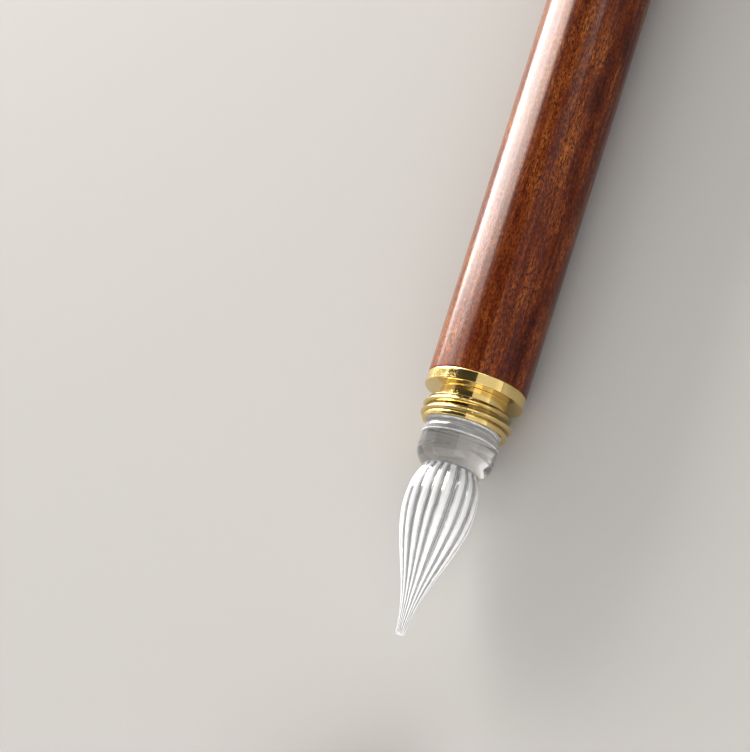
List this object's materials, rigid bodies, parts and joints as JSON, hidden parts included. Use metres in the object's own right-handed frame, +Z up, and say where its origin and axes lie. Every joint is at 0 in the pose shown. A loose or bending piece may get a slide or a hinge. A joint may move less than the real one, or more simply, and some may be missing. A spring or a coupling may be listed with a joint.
{
  "type": "glass nib pen",
  "caption": "Dip pen with a slim rosewood barrel, a fluted clear glass nib held in a threaded brass ferrule, and a plain brass screw cap.",
  "frame": {"origin": "on the ground under the middle of the bounding box of the pen and its drawn-off cap", "axes": "+X along the pen from the nib to the tail, +Z up, +Y completes the right-handed frame; the pen lies on the ground with its axis 6 mm up"},
  "size_m": [0.1936, 0.012, 0.012],
  "materials": {
    "rosewood": "polished and waxed, long straight grain",
    "barrel_brass": "turned",
    "ferrule_brass": "turned and polished",
    "cap_brass": "satin, fine turning marks",
    "clear_glass": "clear, fire polished",
    "sleeve_plastic": "soft translucent",
    "seal_rubber": "matt",
    "pad_felt": "felt"
  },
  "bodies": {
    "pen": {"barrel_sleeve": "rosewood", "barrel_tube": "barrel_brass", "front_bush": "barrel_brass", "tail_plug": "barrel_brass", "ferrule": "ferrule_brass", "ferrule_seal": "seal_rubber", "nib_sleeve": "sleeve_plastic", "glass_nib": "clear_glass"},
    "cap_carriage": {"cap_pad": "pad_felt"},
    "cap": {"cap_shell": "cap_brass", "cap_end_plug": "cap_brass"}
  },
  "joints": [
    {"name": "cap_slide", "type": "slide", "parent": "pen", "child": "cap_carriage", "axis": [1, 0, 0], "range_m": [0, 0.05392]},
    {"name": "cap_turn", "type": "hinge", "parent": "cap_carriage", "child": "cap", "pos_m": [-0.06482, 0, 0.006], "axis": [1, 0, 0], "range_deg": [0, 720]}
  ]
}
